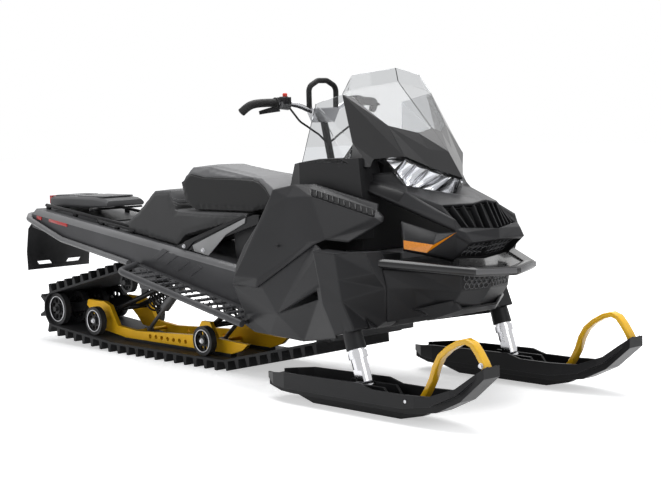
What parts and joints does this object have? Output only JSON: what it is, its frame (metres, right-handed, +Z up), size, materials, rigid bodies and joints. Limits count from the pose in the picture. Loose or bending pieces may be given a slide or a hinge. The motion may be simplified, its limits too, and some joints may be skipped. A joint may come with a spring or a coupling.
{
  "type": "snowmobile",
  "caption": "Utility snowmobile with a long track under a sheet tunnel, two skis on strut tubes, a tall clear windshield, a seat with rear storage and tube bumpers.",
  "frame": {"origin": "on the floor, at the middle of the machine's box", "axes": "+X towards the nose, +Y towards the machine's left, +Z up"},
  "size_m": [3.2, 0.977, 1.2395],
  "materials": {
    "amber": "amber reflector",
    "black_metal": "black",
    "body_black": "moulded dark grey",
    "cable_black": "black",
    "chrome": "bright tube",
    "clear": "light smoke tint",
    "engine_metal": "cast",
    "flap_black": "flexible black sheet",
    "gloss_black": "gloss black",
    "grey_metal": "satin grey",
    "grille_black": "moulded black",
    "grip_rubber": "black",
    "lamp_clear": "clear lens",
    "lamp_housing": "bright lamp body",
    "lamp_red": "red lens",
    "loop_yellow": "yellow",
    "rail_yellow": "yellow",
    "seat_cover": "two-tone seat cover",
    "ski_black": "moulded black",
    "storage": "soft storage bag and seat foot",
    "track_rubber": "ribbed rubber",
    "tunnel_grey": "dark grey",
    "wheel_rubber": "moulded wheels with rubber rims"
  },
  "bodies": {
    "chassis": {"belly_pan": "body_black", "cargo_box": "body_black", "chin_panel": "body_black", "console": "body_black", "drive_shaft": "wheel_rubber", "engine": "engine_metal", "front_arm": "black_metal", "front_bumper": "gloss_black", "grilles": "grille_black", "headlamps": "lamp_housing", "hood": "body_black", "idler_wheels": "wheel_rubber", "lamp_lens": "lamp_clear", "lower_panels": "body_black", "rear_arm": "black_metal", "rear_bumper": "black_metal", "running_boards": "tunnel_grey", "seat": "seat_cover", "seat_base": "storage", "seat_brackets": "grey_metal", "shocks": "grey_metal", "side_reflectors": "amber", "slide_rails": "rail_yellow", "slide_shoes": "grille_black", "snow_flap": "flap_black", "strut_housings": "body_black", "tail_lamp": "lamp_red", "tail_rails": "black_metal", "track": "track_rubber", "tunnel": "tunnel_grey", "upper_panels": "body_black", "windshield": "clear", "windshield_frame": "gloss_black"},
    "steering": {"cables": "cable_black", "controls": "grey_metal", "grab_strap": "grip_rubber", "grips": "grip_rubber", "handlebar": "black_metal", "steering_post": "black_metal"},
    "spindle_right": {"spindle_right": "chrome"},
    "spindle_left": {"spindle_left": "chrome"},
    "ski_right": {"ski_right": "ski_black", "ski_loop_right": "loop_yellow"},
    "ski_left": {"ski_left": "ski_black", "ski_loop_left": "loop_yellow"}
  },
  "joints": [
    {"name": "steering_turn", "type": "hinge", "parent": "chassis", "child": "steering", "pos_m": [0.45, 0, 0.79], "axis": [-0.2318, 0, 0.9728], "range_deg": [-35, 35]},
    {"name": "spindle_right_turn", "type": "hinge", "parent": "chassis", "child": "spindle_right", "pos_m": [1.006, -0.4065, 0.092], "axis": [-0.3126, 0, 0.9499], "range_deg": [-28, 28]},
    {"name": "spindle_left_turn", "type": "hinge", "parent": "chassis", "child": "spindle_left", "pos_m": [1.006, 0.4065, 0.092], "axis": [-0.3126, 0, 0.9499], "range_deg": [-28, 28]},
    {"name": "ski_right_pitch", "type": "hinge", "parent": "spindle_right", "child": "ski_right", "pos_m": [1.006, -0.4065, 0.092], "axis": [0, 1, 0], "range_deg": [-20, 5]},
    {"name": "ski_left_pitch", "type": "hinge", "parent": "spindle_left", "child": "ski_left", "pos_m": [1.006, 0.4065, 0.092], "axis": [0, 1, 0], "range_deg": [-20, 5]}
  ],
  "couplings": [
    {"joint": "spindle_right_turn", "follows": "steering_turn", "ratio": 0.8},
    {"joint": "spindle_left_turn", "follows": "steering_turn", "ratio": 0.8}
  ]
}
